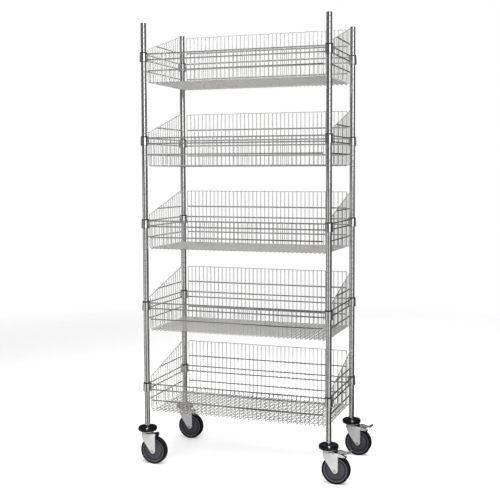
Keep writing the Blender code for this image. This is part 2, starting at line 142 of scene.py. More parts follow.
# Wheel: tone of the core by the distance from the hub's centre. The grey is the core's own; the dark band
# is painted shade in the groove and the lighter band a painted highlight on the raised ring
WHEEL_TONES_AND_PAINTED_LIGHT = [
    (0.0, (0.085, 0.085, 0.1)),
    (0.038, (0.085, 0.085, 0.1)),
    (0.0415, (0.075, 0.075, 0.09)),
    (0.0425, (0.022, 0.021, 0.034)),
    (0.0465, (0.022, 0.021, 0.034)),
    (0.048, (0.12, 0.12, 0.135)),
    (0.0538, (0.12, 0.12, 0.13)),
]

# Camera
CAMERA_AT = (1.405, -3.884, 1.362)
CAMERA_AZIMUTH = 18.68  # degrees
CAMERA_ELEVATION = 3.47
CAMERA_ROLL = -0.12
LENS_MM = 63.7
SENSOR_MM = 36.0
SHIFT = -0.05

# What the chrome mirrors. Directions are degrees from -Y towards +X, heights are the sine of the elevation
MIRRORED_STRENGTH = 1.6
SCREENS = [
    (-180, 0.12),
    (-170, 0.10),
    (-158, 0.03),
    (-112, 0.03),
    (-104, 0.22),
    (-86, 0.22),
    (-76, 0.06),
    (-30, 0.09),
    (0, 0.04),
    (14, 0.03),
    (20, 1.0),
    (54, 1.0),
    (62, 0.25),
    (76, 0.02),
    (112, 0.02),
    (120, 0.2),
    (132, 0.2),
    (140, 0.02),
    (162, 0.02),
    (176, 0.06),
]
SCREEN_HEIGHTS = [(0.0, 1.0), (0.42, 1.0), (0.62, 0.12)]
FLOOR_LIGHT = [
    (-180, 0.06),
    (-140, 0.1),
    (-76, 0.2),
    (-62, 0.7),
    (-26, 0.7),
    (-15, 0.04),
    (8, 0.04),
    (16, 0.85),
    (56, 0.85),
    (66, 0.07),
    (110, 0.07),
    (124, 0.25),
    (138, 0.12),
    (160, 0.03),
    (180, 0.06),
]
FLOOR_TONES = [
    (-1.0, (0.62, 0.60, 0.585)),
    (-0.4, (0.62, 0.60, 0.59)),
    (-0.15, grey(0.62)),
    (0.0, grey(0.5)),
]
CEILING = [(0.55, 0.0), (0.8, 0.07), (1.0, 0.1)]
HORIZON = (-0.03, 0.01)  # the mirrored floor turns into the mirrored screens between these heights

# Floor
FLOOR_RADIUS = 5.0
FLOOR_SOLID = 2.2  # radius from which the floor fades out towards its rim
FLOOR_GLOW = 0.3
# the mirrored floor is darker near the rack: painted shade seen in the chrome
NEAR_FLOOR = (0.78, 0.755, 0.74)
FAR_FLOOR = (0.84, 0.83, 0.82)

LIGHT_SIZE = 2.6
LIGHTS = [  # name, place, aim, power
    ("overhead", (0.3, -0.5, 3.5), (0, 0, 0.6), 170.0),
    ("front", (-1.6, -4.6, 2.4), (0, 0, 0.7), 75.0),
    ("right", (4.4, -2.4, 2.2), (0, 0, 0.9), 60.0),
    ("back", (0.5, 4.4, 2.6), (0, 0, 0.9), 45.0),
]


def middle(node):
    """The middle of a CAD node's box."""
    low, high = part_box(node)
    return (low + high) / 2


POST = {corner: middle("post_" + corner) for corner in CORNERS}
HALF_X = (POST["fr"].x - POST["fl"].x) / 2
HALF_Y = (POST["bl"].y - POST["fl"].y) / 2
RACK_X = (POST["fr"].x + POST["fl"].x) / 2
POST_BOTTOM, POST_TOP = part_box("post_fl")[0].z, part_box("post_fl")[1].z
POST_RADIUS = (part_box("post_fl")[1].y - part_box("post_fl")[0].y) / 2
CAP_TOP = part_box("post_cap_fl")[1].z
LEVELS = [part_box(f"sleeve_{tier}_fl")[1].z for tier in range(1, TIERS + 1)]
TRAIL = (middle("caster_wheel_fl") - POST["fl"]).x
WHEEL_RADIUS = AXLE_HEIGHT = middle("caster_wheel_fl").z
WHEEL_HALF_WIDTH = (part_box("caster_tyre_fl")[1].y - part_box("caster_tyre_fl")[0].y) / 2
BUMPER_RADIUS = (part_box("bumper_fl")[1].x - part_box("bumper_fl")[0].x) / 2
BUMPER_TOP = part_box("bumper_fl")[1].z + BUMPER_LIFT
PEDAL_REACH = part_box("brake_pedal_fr")[1].x - POST["fr"].x

PEDAL_STATIONS = [  # distance from the post, top, bottom, half width
    (0.0402, 0.1430, 0.1400, 0.0100),
    (0.0425, 0.1462, 0.1372, 0.0122),
    (0.0460, 0.1484, 0.1340, 0.0130),
    (0.0500, 0.1490, 0.1325, 0.0130),
    (0.0560, 0.1488, 0.1325, 0.0130),
    (0.0600, 0.1476, 0.1350, 0.0128),
    (0.0650, 0.1464, 0.1384, 0.0118),
    (0.0720, 0.1452, 0.1396, 0.0098),
    (0.0790, 0.1444, 0.1394, 0.0082),
    (0.0840, 0.1442, 0.1394, 0.0075),
    (0.0880, 0.1455, 0.1390, 0.0120),
    (0.0920, 0.1476, 0.1388, 0.0155),
    (0.0970, 0.1502, 0.1402, 0.0165),
    (0.1020, 0.1522, 0.1432, 0.0150),
    (PEDAL_REACH - GAP, 0.1530, 0.1468, 0.0110),
]


# ---------------------------------------------------------------- materials


class Nodes:
    """Short-hand for building one node tree."""

    def __init__(self, tree):
        self.tree = tree

    def add(self, kind, **settings):
        """A new node with its settings."""
        node = self.tree.nodes.new(kind)
        for key, value in settings.items():
            setattr(node, key, value)
        return node

    def link(self, out, into):
        """Joins an output to an input."""
        self.tree.links.new(out, into)

    def noise(self, at, scale, detail=3.0):
        """Soft clouds over the surface."""
        node = self.add("ShaderNodeTexNoise")
        node.inputs["Scale"].default_value = scale
        node.inputs["Detail"].default_value = detail
        self.link(at, node.inputs["Vector"])
        return node.outputs["Fac"]

    def ramp(self, value, stops):
        """A colour ramp from (position, colour) stops."""
        node = self.add("ShaderNodeValToRGB")
        marks = node.color_ramp.elements
        while len(marks) < len(stops):
            marks.new(0.5)
        for mark, (position, colour) in zip(marks, stops):
            mark.position = position
            mark.color = (*colour, 1.0)
        self.link(value, node.inputs["Fac"])
        return node.outputs["Color"]

    def mapped(self, value, low, high, start=0.3, end=0.7):
        """The value, with the range from start to end spread from low to high."""
        node = self.add("ShaderNodeMapRange")
        node.inputs["From Min"].default_value = start
        node.inputs["From Max"].default_value = end
        node.inputs["To Min"].default_value = low
        node.inputs["To Max"].default_value = high
        self.link(value, node.inputs["Value"])
        return node.outputs["Result"]

    def multiplied(self, first, second):
        """One colour times another."""
        product = self.add("ShaderNodeMix", data_type="RGBA", blend_type="MULTIPLY")
        product.inputs["Factor"].default_value = 1.0
        self.link(first, product.inputs["A"])
        self.link(second, product.inputs["B"])
        return product.outputs["Result"]

    def bump(self, height, strength, distance):
        """Small relief that follows a height."""
        node = self.add("ShaderNodeBump")
        node.inputs["Strength"].default_value = strength
        node.inputs["Distance"].default_value = distance
        self.link(height, node.inputs["Height"])
        return node.outputs["Normal"]


def new_material(name):
    """A material with its nodes, its shader and the coordinates on its object."""
    made = bpy.data.materials.new(name)
    made.use_nodes = True
    nodes = Nodes(made.node_tree)
    shader = made.node_tree.nodes["Principled BSDF"]
    at = nodes.add("ShaderNodeTexCoord").outputs["Object"]
    return made, nodes, shader, at


def surface(name, dark, light, rough, scale, bump, metallic=0.0, fine=900.0, gloss=0.5):
    """A finish whose colour and roughness drift over the surface, with a fine grain as bump.

    dark and light are the ends of the colour drift, rough holds the ends of the roughness, and a larger
    scale makes the drift finer. bump is the grain's strength and depth, and a larger fine makes the grain
    finer. gloss is how strongly a finish that is not metal mirrors.
    """
    made, nodes, shader, at = new_material(name)
    drift = nodes.noise(at, scale)
    nodes.link(nodes.ramp(drift, [(0.35, dark), (0.65, light)]), shader.inputs["Base Color"])
    patches = nodes.noise(at, scale * 3.1, 4.0)
    nodes.link(nodes.mapped(patches, *rough), shader.inputs["Roughness"])
    grain = nodes.noise(at, fine, 2.0)
    nodes.link(nodes.bump(grain, *bump), shader.inputs["Normal"])
    shader.inputs["Metallic"].default_value = metallic
    shader.inputs["Specular IOR Level"].default_value = gloss
    return made


def zinc_material():
    """Zinc plate: faint crystals under a soft sheen."""
    made, nodes, shader, at = new_material("zinc_plate")
    crystals = nodes.add("ShaderNodeTexVoronoi")
    crystals.inputs["Scale"].default_value = 320.0
    nodes.link(at, crystals.inputs["Vector"])
    tone = nodes.mapped(crystals.outputs["Color"], 0.45, 0.55, 0.0, 1.0)
    cloud = nodes.noise(at, 45.0, 4.0)
    both = nodes.add("ShaderNodeMath", operation="ADD")
    nodes.link(nodes.mapped(cloud, -0.15, 0.15), both.inputs[0])
    nodes.link(tone, both.inputs[1])
    stops = [(0.3, (0.78, 0.79, 0.80)), (0.7, (0.90, 0.90, 0.89))]
    nodes.link(nodes.ramp(both.outputs[0], stops), shader.inputs["Base Color"])
    nodes.link(nodes.mapped(cloud, 0.32, 0.46), shader.inputs["Roughness"])
    grain = nodes.noise(at, 1400.0, 2.0)
    nodes.link(nodes.bump(grain, 0.25, 0.0002), shader.inputs["Normal"])
    shader.inputs["Metallic"].default_value = 0.2
    return made


def wheel_material():
    """Moulded grey core, with painted shade in its groove and a painted highlight on its raised ring."""
    made, nodes, shader, at = new_material("wheel_grey")
    flat = nodes.add("ShaderNodeVectorMath", operation="MULTIPLY")
    flat.inputs[1].default_value = (1.0, 0.0, 1.0)
    nodes.link(at, flat.inputs[0])
    radius = nodes.add("ShaderNodeVectorMath", operation="LENGTH")
    nodes.link(flat.outputs[0], radius.inputs[0])
    share = nodes.mapped(radius.outputs["Value"], 0.0, 1.0, 0.0, WHEEL_RADIUS)
    # painted shade in the groove and a painted highlight on the raised ring, by radius
    stops = [(r / WHEEL_RADIUS, colour) for r, colour in WHEEL_TONES_AND_PAINTED_LIGHT]
    drift = nodes.noise(at, 50.0)
    cloud = nodes.ramp(drift, [(0.35, grey(0.85)), (0.65, grey(1.0))])
    nodes.link(nodes.multiplied(nodes.ramp(share, stops), cloud), shader.inputs["Base Color"])
    nodes.link(nodes.mapped(drift, 0.38, 0.55), shader.inputs["Roughness"])
    grain = nodes.noise(at, 900.0, 2.0)
    nodes.link(nodes.bump(grain, 0.2, 0.0002), shader.inputs["Normal"])
    return made


MATERIALS = {
    "chrome": surface(
        "chrome_plate",
        dark=(0.74, 0.75, 0.76),
        light=(0.86, 0.86, 0.85),
        rough=(0.05, 0.13),
        scale=24.0,
        bump=(0.05, 0.0001),
        metallic=1.0,
    ),
    "bright_wire": surface(
        "bright_wire_plate",
        dark=(0.80, 0.795, 0.785),
        light=(0.90, 0.895, 0.885),
        rough=(0.15, 0.25),
        scale=30.0,
        bump=(0.1, 0.0001),
        metallic=0.72,
    ),
    "zinc_steel": zinc_material(),
    "pedal_steel": surface(
        "pedal_plate",
        dark=(0.48, 0.48, 0.47),
        light=(0.60, 0.60, 0.58),
        rough=(0.2, 0.32),
        scale=60.0,
        bump=(0.1, 0.0002),
        metallic=0.8,
    ),
    "sleeve_plastic": surface(
        "sleeve_black",
        dark=(0.008, 0.008, 0.009),
        light=(0.018, 0.018, 0.020),
        rough=(0.35, 0.55),
        scale=60.0,
        bump=(0.2, 0.0002),
    ),
    "bumper_rubber": surface(
        "bumper_black",
        dark=(0.002, 0.002, 0.003),
        light=(0.004, 0.004, 0.006),
        rough=(0.38, 0.5),
        scale=40.0,
        bump=(0.2, 0.0002),
        fine=700.0,
        gloss=0.45,
    ),
    "wheel_core": wheel_material(),
    "tyre_rubber": surface(
        "tyre_black",
        dark=(0.006, 0.006, 0.008),
        light=(0.013, 0.013, 0.016),
        rough=(0.4, 0.6),
        scale=35.0,
        bump=(0.35, 0.0003),
        fine=600.0,
        gloss=0.16,
    ),
}


# ---------------------------------------------------------------- mesh building


def new_shape():
    """A shape is its list of points and its list of faces."""
    return [], []


def add_loops(shape, loops, closed_round=True, closed_along=False):
    """Skins a row of point loops of equal length. A row that is not closed gets a cap at both ends."""
    points, faces = shape
    first, size, rows = len(points), len(loops[0]), len(loops)
    for loop in loops:
        points.extend(loop)
    for i in range(rows if closed_along else rows - 1):
        here, there = first + i * size, first + (i + 1) % rows * size
        for j in range(size if closed_round else size - 1):
            k = (j + 1) % size
            faces.append((here + j, here + k, there + k, there + j))
    if not closed_along:
        faces.append([first + j for j in range(size)])
        faces.append([first + (rows - 1) * size + j for j in range(size)])


def tube(shape, path, radii, across, sides):
    """A round wire along a path that lies in one plane. across is the normal of that plane."""
    across = Vector(across)
    turns = [2 * math.pi * (k + 0.5) / sides for k in range(sides)]
    loops = []
    for i, here in enumerate(path):
        before, after = path[max(i - 1, 0)], path[min(i + 1, len(path) - 1)]
        up = across.cross((after - before).normalized())
        loops.append([here + radii[i] * (math.cos(t) * across + math.sin(t) * up) for t in turns])
    add_loops(shape, loops)


def wire(shape, path, radius, across, sides=8, end_size=CUT_END):
    """A wire with cut ends. end_size is the ends' share of the radius, and above 1 it makes a weld."""
    start = (path[0] - path[1]).normalized()
    end = (path[-1] - path[-2]).normalized()
    cut, straight = radius * 0.5, radius * 2
    full = [path[0], path[0] - start * cut, path[0] - start * straight]
    full += path[1:-1]
    full += [path[-1] - end * straight, path[-1] - end * cut, path[-1]]
    next_size = 1 + max(end_size - 1, 0.0) * 0.55  # a weld fades out along the wire
    sizes = [end_size, next_size, *[1.0] * (len(full) - 4), next_size, end_size]
    tube(shape, full, [radius * size for size in sizes], across, sides)


def turned(shape, profile, sides, at=(0, 0, 0), closed=False, along="Z", slit=0.0, slit_at=0.0):
    """A profile of (radius, height) turned about an axis.

    closed joins the profile's two ends instead of capping them. slit leaves a gap of twice that angle
    around slit_at.
    """
    at = Vector(at)
    if slit:
        span = 2 * math.pi - 2 * slit
        turns = [slit_at + slit + span * i / sides for i in range(sides + 1)]
    else:
        turns = [2 * math.pi * i / sides for i in range(sides)]
    loops = []
    for turn in turns:
        loop = []
        for radius, height in profile:
            x, y = radius * math.cos(turn), radius * math.sin(turn)
            loop.append(at + Vector((x, y, height) if along == "Z" else (y, height, x)))
        loops.append(loop)
    points, faces = shape
    first, size = len(points), len(profile)
    add_loops(shape, loops, closed_round=closed, closed_along=not slit)
    if not closed:
        faces.append([first + i * size for i in range(len(turns))])
        faces.append([first + i * size + size - 1 for i in range(len(turns))])


def extruded(shape, outline, low, high, place):
    """An outline of (a, b) pulled from low to high. place(a, b, c) puts a point in space."""
    add_loops(shape, [[place(a, b, c) for a, b in outline] for c in (low, high)])


def side_view(a, b, c):
    """A point of an outline seen from the side, c to the back."""
    return Vector((a, c, b))


def front_view(a, b, c):
    """A point of an outline seen along X, c along X."""
    return Vector((c, a, b))


def arc(centre, radius, start, end, steps):
    """Points along an arc in degrees, both ends included."""
    turns = [math.radians(start + (end - start) * i / steps) for i in range(steps + 1)]
    return [(centre[0] + radius * math.cos(t), centre[1] + radius * math.sin(t)) for t in turns]


def flipped(points):
    """The mirror image of (a, b) points at a = 0, in reverse order."""
    return [(-a, b) for a, b in reversed(points)]


def two_sided(side):
    """A profile with a second side that mirrors the first at height 0."""
    return side + [(radius, -height) for radius, height in reversed(side)]


def mesh_of(name, shape, smooth_angle=40.0):
    """A mesh of a shape, with faces turned outwards and edges below smooth_angle shaded soft."""
    points, faces = shape
    mesh = bpy.data.meshes.new(name)
    mesh.from_pydata([tuple(p) for p in points], [], faces)
    work = bmesh.new()
    work.from_mesh(mesh)
    bmesh.ops.recalc_face_normals(work, faces=work.faces)
    work.to_mesh(mesh)
    work.free()
    mesh.shade_smooth()
    mesh.set_sharp_from_angle(angle=math.radians(smooth_angle))
    return mesh


def solid(name, build, *args, **options):
    """A mesh of one shape made by a building function."""
    shape = new_shape()
    build(shape, *args, **options)
    return mesh_of(name, shape)


def piece(name, mesh, slot, body, stands_for=(), at=(0, 0, 0), look=None):
    """Shows a mesh as a piece that rides on a body. look names a finish other than the slot's."""
    made = bpy.data.objects.new(name, mesh)
    bpy.context.scene.collection.objects.link(made)
    made.location = at
    if not mesh.materials:
        mesh.materials.append(MATERIALS[look or slot])
    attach(made, body)
    if stands_for:
        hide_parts(*stands_for)
    return made


def foot_of(corner):
    """Where a post's axis meets the floor."""
    return Vector((POST[corner].x, POST[corner].y, 0))


# ---------------------------------------------------------------- baskets


WALL_IN = ROD_RADIUS + WIRE_RADIUS - WELD_SINK  # the thin wires stand inside the rods
TOP_IN = WALL_IN - 2 * WIRE_RADIUS + WELD_SINK  # the wires along their tops stand outside them
LONG_HEIGHT = FLOOR_TOP - WIRE_RADIUS
CROSS_HEIGHT = LONG_HEIGHT - 2 * WIRE_RADIUS + WELD_SINK


def spread(reach, count):
    """Evenly spaced places from -reach to reach."""
    return [-reach + 2 * reach * i / (count - 1) for i in range(count)]


def slope_at(y):
    """Height of a side wall's sloping wire."""
    return SLOPE_FRONT + (TOP_WIRE - SLOPE_FRONT) * (y + LONG_REACH) / (2 * LONG_REACH)


def bent_path(half, floor, left_top, right_top):
    """Down one wall, across the floor and up the other wall, as (place across, height) points."""
    corner = arc((half - BEND, floor + BEND), BEND, -90, 0, 5)
    return [(-half, left_top), *flipped(corner), *corner, (half, right_top)]


def thin_wires():
    """The close mesh: cross wires below, and long wires on top of them."""
    shape = new_shape()
    front_top = TOP_RAIL + ROD_RADIUS * 0.6  # the front wall's wires end at its top rail
    cross_path = bent_path(HALF_Y - WALL_IN, CROSS_HEIGHT, front_top, TOP_WIRE)
    for x in spread(CROSS_REACH, CROSS_WIRES):
        wire(shape, [Vector((x, u, v)) for u, v in cross_path], WIRE_RADIUS, X_AXIS)
    for y in spread(LONG_REACH, LONG_WIRES):
        long_path = bent_path(HALF_X - WALL_IN, LONG_HEIGHT, slope_at(y), slope_at(y))
        wire(shape, [Vector((u, y, v)) for u, v in long_path], WIRE_RADIUS, Y_AXIS)
    return shape


def add_top_wires(shape):
    """The wires along the tops of the back wall and of the sloping side walls, with ends turned down."""
    half = CROSS_REACH + WIRE_RADIUS
    corner = arc((half - BEND, TOP_WIRE - BEND), BEND, 90, 0, 5)
    foot = TOP_WIRE - TURN_DOWN
    back = [(-half, foot), *flipped(corner), *corner, (half, foot)]
    wire(shape, [Vector((x, HALF_Y - TOP_IN, z)) for x, z in back], WIRE_RADIUS, Y_AXIS)
    overhang, bend, drop = 0.004, 0.004, 0.003
    slope = [(y, slope_at(y)) for y in (-LONG_REACH - overhang, 0.0, LONG_REACH - bend)]
    slope += [(LONG_REACH, TOP_WIRE - drop), (LONG_REACH + WIRE_RADIUS, foot)]
    for x in (TOP_IN - HALF_X, HALF_X - TOP_IN):
        wire(shape, [Vector((x, y, z)) for y, z in slope], WIRE_RADIUS, X_AXIS)


def collar_radius(height):
    """Outer radius of the tapered collar."""
    down = (COLLAR_TOP - height) / COLLAR_HEIGHT
    return POST_RADIUS + GAP + SLEEVE_WALL + GAP + COLLAR_WALL + TAPER * down


def rods():
    """The thick rods of the four walls. The two rails of each wall are welded to the collars."""
    shape = new_shape()
    slope_meets_rod = -LONG_REACH + (UPPER_ROD - SLOPE_FRONT) / (TOP_WIRE - SLOPE_FRONT) * 2 * LONG_REACH
    for height in (LOWER_ROD, BOTTOM_RAIL, TOP_RAIL, UPPER_ROD):
        if height in (BOTTOM_RAIL, TOP_RAIL):
            end_size = WELDED_END
            inset = collar_radius(height) - RAIL_SINK
            x_reach, y_reach = HALF_X - inset, HALF_Y - inset
        else:
            end_size = CUT_END
            x_reach, y_reach = CROSS_REACH + ROD_OVERHANG, LONG_REACH + ROD_OVERHANG
        front = slope_meets_rod if height == UPPER_ROD else -y_reach
        for side in (-1, 1):
            is_missing = height == UPPER_ROD and side < 0  # the front wall is too low for it
            if not is_missing:
                path = [Vector((x, side * HALF_Y, height)) for x in (-x_reach, 0.0, x_reach)]
                wire(shape, path, ROD_RADIUS, Y_AXIS, ROD_SIDES, end_size)
            path = [Vector((side * HALF_X, y, height)) for y in (front, (front + y_reach) / 2, y_reach)]
            wire(shape, path, ROD_RADIUS, X_AXIS, ROD_SIDES, end_size)
    return shape


def collars():
    """Four tapered rings with softened edges."""
    shape = new_shape()
    edge = 0.0005
    low = COLLAR_TOP - COLLAR_HEIGHT
    top_out, low_out = collar_radius(COLLAR_TOP), collar_radius(low)
    profile = [
        (top_out - COLLAR_WALL, COLLAR_TOP - edge),
        (top_out - COLLAR_WALL + edge, COLLAR_TOP),
        (top_out - edge, COLLAR_TOP),
        (top_out, COLLAR_TOP - edge),
        (low_out, low + edge),
        (low_out - edge, low),
        (low_out - COLLAR_WALL + edge, low),
        (low_out - COLLAR_WALL, low + edge),
    ]
    for corner in CORNERS:
        turned(shape, profile, ROUND, foot_of(corner) - Vector((RACK_X, 0, 0)), closed=True)
    return shape


def add_baskets():
    """Five baskets, each of thin wires, thick rods and four collars."""
    wires = thin_wires()
    add_top_wires(wires)
    parts = [  # part, mesh, finish
        ("wires", mesh_of("basket_wires", wires), "bright_wire"),
        ("rods", mesh_of("basket_rods", rods()), "chrome"),
        ("collars", mesh_of("basket_collars", collars()), "chrome"),
    ]
    for tier, level in enumerate(LEVELS, start=1):
        node, at = f"basket_{tier}", (RACK_X, 0, level)
        for part, mesh, look in parts:
            piece(f"{node}_{part}", mesh, "chrome", "rack", [node], at, look)


def sleeve_mesh(towards_middle):
    """Split sleeve: a tapered wall inside the collar and a lip that stands above it."""
    inner, outer = POST_RADIUS + GAP, POST_RADIUS + GAP + SLEEVE_WALL
    edge = 0.0006
    lip = outer + SLEEVE_LIP
    lip_bottom = COLLAR_TOP + GAP
    foot = outer + TAPER * (COLLAR_TOP + SLEEVE_HEIGHT) / COLLAR_HEIGHT
    profile = [
        (inner, -edge),
        (inner + edge, 0),
        (lip - edge, 0),
        (lip, -edge),
        (lip, lip_bottom + edge),
        (lip - edge, lip_bottom),
        (outer, lip_bottom),
        (foot, edge - SLEEVE_HEIGHT),
        (foot - edge, -SLEEVE_HEIGHT),
        (inner + edge, -SLEEVE_HEIGHT),
        (inner, edge - SLEEVE_HEIGHT),
    ]
    shape = new_shape()
    turned(shape, profile, ROUND, closed=True, slit=SLEEVE_SLIT, slit_at=towards_middle)
    return mesh_of("split_sleeve", shape)


def add_sleeves():
    """A sleeve at each corner of each tier, with its slit towards the rack's middle."""
    meshes = {"l": sleeve_mesh(0.0), "r": sleeve_mesh(math.pi)}
    for tier, level in enumerate(LEVELS, start=1):
        for corner in CORNERS:
            node = f"sleeve_{tier}_{corner}"
            at = foot_of(corner) + Vector((0, 0, level))
            piece("split_" + node, meshes[corner[1]], "sleeve_plastic", "rack", [node], at)


# ---------------------------------------------------------------- posts, caps and bumpers


def groove_heights():
    """A groove every inch, clear of the post's ends. A sleeve's top lies halfway between two grooves."""
    margin = GROOVE_PITCH / 2
    lowest = math.ceil((POST_BOTTOM + margin - LEVELS[0]) / GROOVE_PITCH - 0.5)
    highest = math.floor((POST_TOP - margin - LEVELS[0]) / GROOVE_PITCH - 0.5)
    return [LEVELS[0] + (step + 0.5) * GROOVE_PITCH for step in range(lowest, highest + 1)]


def post_mesh():
    """Tube with a shallow round groove every inch."""
    edge = 0.0003
    profile = [(POST_BORE, POST_BOTTOM), (POST_RADIUS - edge, POST_BOTTOM)]
    profile += [(POST_RADIUS, POST_BOTTOM + edge)]
    for height in groove_heights():
        for share in (-1.0, -0.62, 0.0, 0.62, 1.0):
            depth = GROOVE_DEPTH * (1 - share * share)
            profile.append((POST_RADIUS - depth, height + share * GROOVE_HALF_WIDTH))
    profile += [(POST_RADIUS, POST_TOP - edge), (POST_RADIUS - edge, POST_TOP), (POST_BORE, POST_TOP)]
    shape = new_shape()
    turned(shape, profile, ROUND, closed=True)
    return mesh_of("grooved_post", shape, 30.0)


def cap_mesh():
    """Pressed cap: a plug in the tube and a low crowned top with a rounded edge."""
    rim, plug_depth, plug_edge = 0.0016, 0.012, 0.001
    plug = POST_BORE - GAP
    profile = [(plug - plug_edge, POST_TOP - plug_depth), (plug, POST_TOP - plug_depth + plug_edge)]
    profile += [(plug, POST_TOP + GAP), (POST_RADIUS, POST_TOP + GAP)]
    profile += arc((POST_RADIUS - rim, CAP_TOP - rim - 0.0002), rim, 0, 80, 5)
    profile += [(POST_RADIUS * 0.5, CAP_TOP - 0.0001), (0.0008, CAP_TOP)]
    shape = new_shape()
    turned(shape, profile, ROUND)
    return mesh_of("post_cap_top", shape, 50.0)


def add_posts():
    """Four posts with their caps."""
    post, cap = post_mesh(), cap_mesh()
    for corner in CORNERS:
        at = foot_of(corner)
        piece("grooved_post_" + corner, post, "chrome", "rack", ["post_" + corner], at)
        piece("crowned_cap_" + corner, cap, "chrome", "rack", ["post_cap_" + corner], at)


def bumper_profile():
    """Section of the bumper's ring: upright at the post, round at the outside."""
    inner = POST_RADIUS + GAP
    corner = 0.007
    low, high = BUMPER_BOTTOM + corner, BUMPER_TOP - corner
    profile = [(inner, BUMPER_BOTTOM + 0.001), (inner + 0.002, BUMPER_BOTTOM)]
    profile += arc((BUMPER_RADIUS - corner, low), corner, -90, 0, 6)
    profile += arc((BUMPER_RADIUS - corner, high), corner, 0, 90, 6)
    return profile + [(inner + 0.006, BUMPER_TOP - 0.001), (inner, BUMPER_TOP - 0.003)]


def add_webs(shape):
    """Thin webs across the slit: a wide one below, and a narrow one at the post near the top."""
    webs = [  # inner and outer radius, bottom, top
        (0.019, 0.040, BUMPER_BOTTOM + 0.0006, WEB_TOP),
        (0.0133, 0.0225, BUMPER_TOP - 0.006, BUMPER_TOP - 0.001),
    ]
    bulge = 0.001
    for near, far, low, high in webs:
        profile = [(near, low), (far, low), (far + bulge, (low + high) / 2)]
        profile += [(far - bulge, high), (near, high)]
        turned(shape, profile, 6, closed=True, slit=math.pi - WEB_HALF_ANGLE, slit_at=BUMPER_SLIT + math.pi)


def bumper_mesh():
    """Soft ring with a slit. Its two ends are rounded, and thin webs join them."""
    steps = 48
    stations = [(half_gap, share, 0.0) for half_gap, share in SLIT_ENDS]
    stations += [(SLIT_ENDS[-1][0], 1.0, step / steps) for step in range(1, steps)]
    stations += [(half_gap, share, 1.0) for half_gap, share in reversed(SLIT_ENDS)]
    profile = bumper_profile()
    centre = Vector((0.030, (BUMPER_BOTTOM + BUMPER_TOP) / 2))  # the ends shrink towards it
    loops = []
    for half_gap, share, along in stations:
        loop = []
        for point in profile:
            radius, height = centre + share * (Vector(point) - centre)
            gap_angle = math.asin(half_gap / radius)
            turn = BUMPER_SLIT + gap_angle + along * (2 * math.pi - 2 * gap_angle)
            loop.append(Vector((radius * math.cos(turn), radius * math.sin(turn), height)))
        loops.append(loop)
    shape = new_shape()
    add_loops(shape, loops)
    add_webs(shape)
    return mesh_of("ring_bumper", shape, 50.0)


def slit_key_mesh():
    """Plated key in the upper part of the bumper's slit."""
    out = Vector((math.cos(BUMPER_SLIT), math.sin(BUMPER_SLIT), 0))
    side = Vector((-out.y, out.x, 0))
    near, far, half_width, edge = 0.0250, 0.0315, 0.0033, 0.0015
    low, high = WEB_TOP + GAP, BUMPER_TOP - 0.003
    outline = [(near, low), (far, low), (far, high - edge), (far - edge, high), (near, high)]

    def place(a, b, c):
        """a away from the post, b up and c across the slit."""
        return a * out + c * side + Vector((0, 0, b))

    return solid("slit_key", extruded, outline, -half_width, half_width, place)


def add_bumpers():
    """A bumper at the foot of each post, with the key in its slit."""
    bumper, key = bumper_mesh(), slit_key_mesh()
    for corner in CORNERS:
        at = foot_of(corner)
        piece("doughnut_bumper_" + corner, bumper, "bumper_rubber", "rack", ["bumper_" + corner], at)
        piece("bumper_key_" + corner, key, "zinc_steel", "rack", (), at)


# ---------------------------------------------------------------- casters


def combined(name, base, others, operation="UNION"):
    """A base mesh with others added, kept in common or cut away."""
    shapes = bpy.data.collections.new(name + "_shapes")
    body = bpy.data.objects.new(name + "_base", base)
    bpy.context.scene.collection.objects.link(body)
    helpers = [bpy.data.objects.new(name + "_shape", other) for other in others]
    for helper in helpers:
        bpy.context.scene.collection.objects.link(helper)
        shapes.objects.link(helper)
    join = body.modifiers.new("join", "BOOLEAN")
    join.operation = operation
    join.operand_type = "COLLECTION"
    join.collection = shapes
    join.solver = "EXACT"
    bpy.context.view_layer.update()
    ready = body.evaluated_get(bpy.context.evaluated_depsgraph_get())
    mesh = bpy.data.meshes.new_from_object(ready)
    mesh.name = name
    for helper in [body, *helpers]:
        bpy.data.objects.remove(helper, do_unlink=True)
    bpy.data.collections.remove(shapes)
    return mesh


def leg_outline(braked):
    """Side view of the fork: a slanting front edge, an upright back edge and a round foot at the axle.

    The braked fork has an arm at the back that carries the pedal.
    """
    foot_radius = 0.0125
    outline = [(-0.0235, FORK_TOP + 0.01), (-0.0225, 0.137), (-0.0185, 0.124), (-0.0105, 0.106)]
    outline += arc((TRAIL, AXLE_HEIGHT), foot_radius, 207, 360, 14)
    back = TRAIL + foot_radius
    if braked:
        outline += arc((back + 0.003, 0.1225), 0.003, 180, 90, 4)
        outline += [(0.0690, 0.1245), *arc((0.0742, 0.1275), 0.003, -80, 40, 6)]
        outline += [(0.0680, 0.1330), (0.0600, 0.1358), (0.0500, 0.1378), (0.0400, 0.1393)]
        outline += [(0.0300, FORK_TOP + 0.01)]
    else:
        outline += [(back, 0.137), (back - 0.001, FORK_TOP + 0.01)]
    return outline


def legs_mesh(braked):
    """Sheet bent round over the wheel, cut to the outline of the legs."""
    outer, inner, bend = FORK_HALF_WIDTH, FORK_HALF_WIDTH - FORK_SHEET, 0.007
    centre = (outer - bend, FORK_TOP - bend)
    over = [(outer, 0.0), *arc(centre, bend, 0, 90, 6)]
    under = [(inner, 0.0), *arc(centre, bend - FORK_SHEET, 0, 90, 6)]
    arch = [*over, *flipped(over), *reversed(flipped(under)), *reversed(under)]
    sheet = solid("arch", extruded, arch, -0.2, 0.2, front_view)
    side = solid("side", extruded, leg_outline(braked), -0.03, 0.03, side_view)
    return combined("legs", sheet, [side], "INTERSECT")


